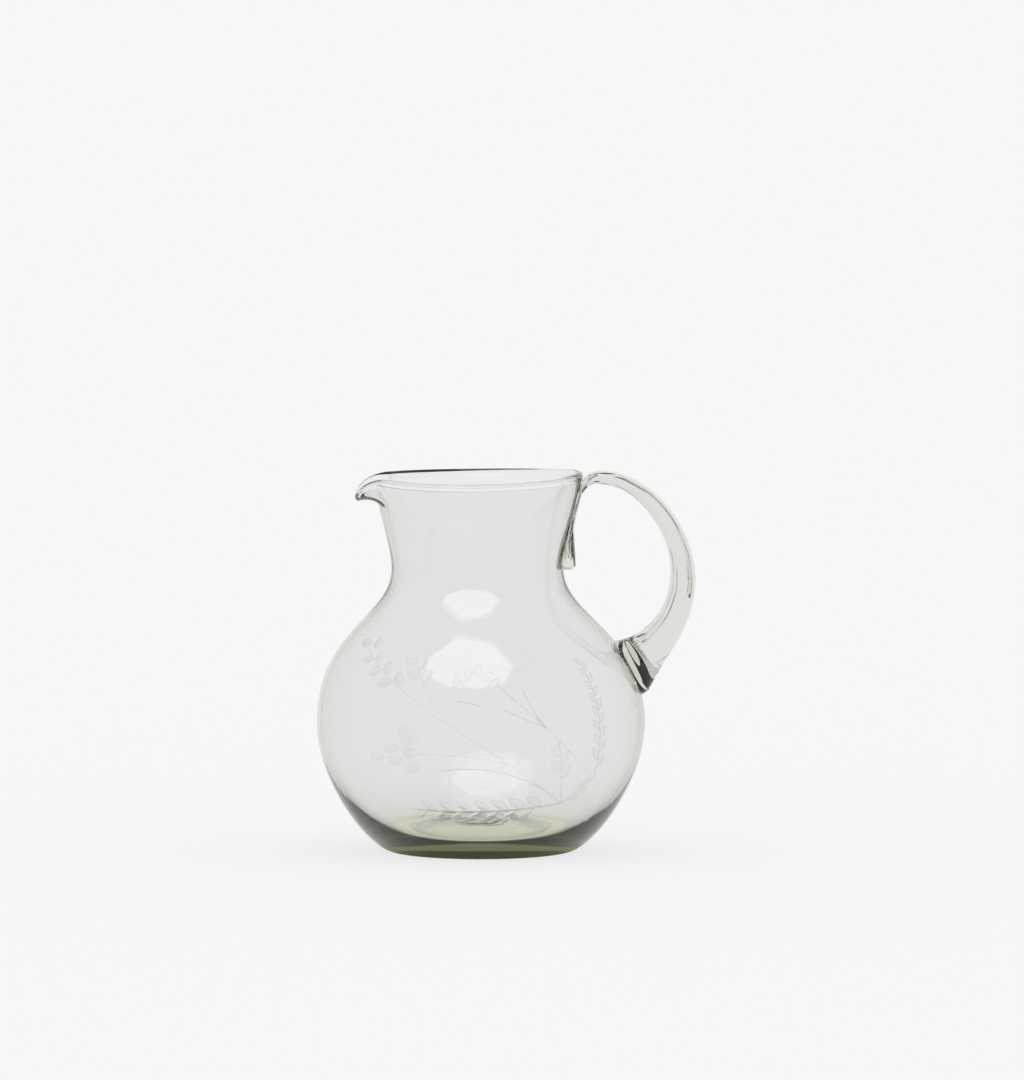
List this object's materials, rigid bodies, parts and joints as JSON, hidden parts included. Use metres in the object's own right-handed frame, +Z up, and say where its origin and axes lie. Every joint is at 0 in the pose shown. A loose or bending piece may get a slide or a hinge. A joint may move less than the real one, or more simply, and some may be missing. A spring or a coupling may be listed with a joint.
{
  "type": "glass pitcher",
  "caption": "Hand-blown clear glass pitcher with a round bowl, flared neck, pulled pouring lip and applied strap handle, for serving water and other drinks.",
  "frame": {"origin": "on the table, under the middle of the whole pitcher with its handle", "axes": "+Z up, +X towards the handle, -X towards the pouring lip, +Y across, the front seen from -Y"},
  "size_m": [0.2058, 0.1784, 0.2068],
  "materials": {
    "body_glass": "clear hand-blown glass with a faint green tint, fire-polished, engraved with a plain leafy spray",
    "handle_glass": "clear drawn glass with a faint green tint, fire-polished",
    "scar_glass": "broken glass face, partly smoothed by the flame"
  },
  "bodies": {
    "root": {"blown_body": "body_glass", "applied_handle": "handle_glass", "pontil_scar": "scar_glass"}
  },
  "joints": []
}
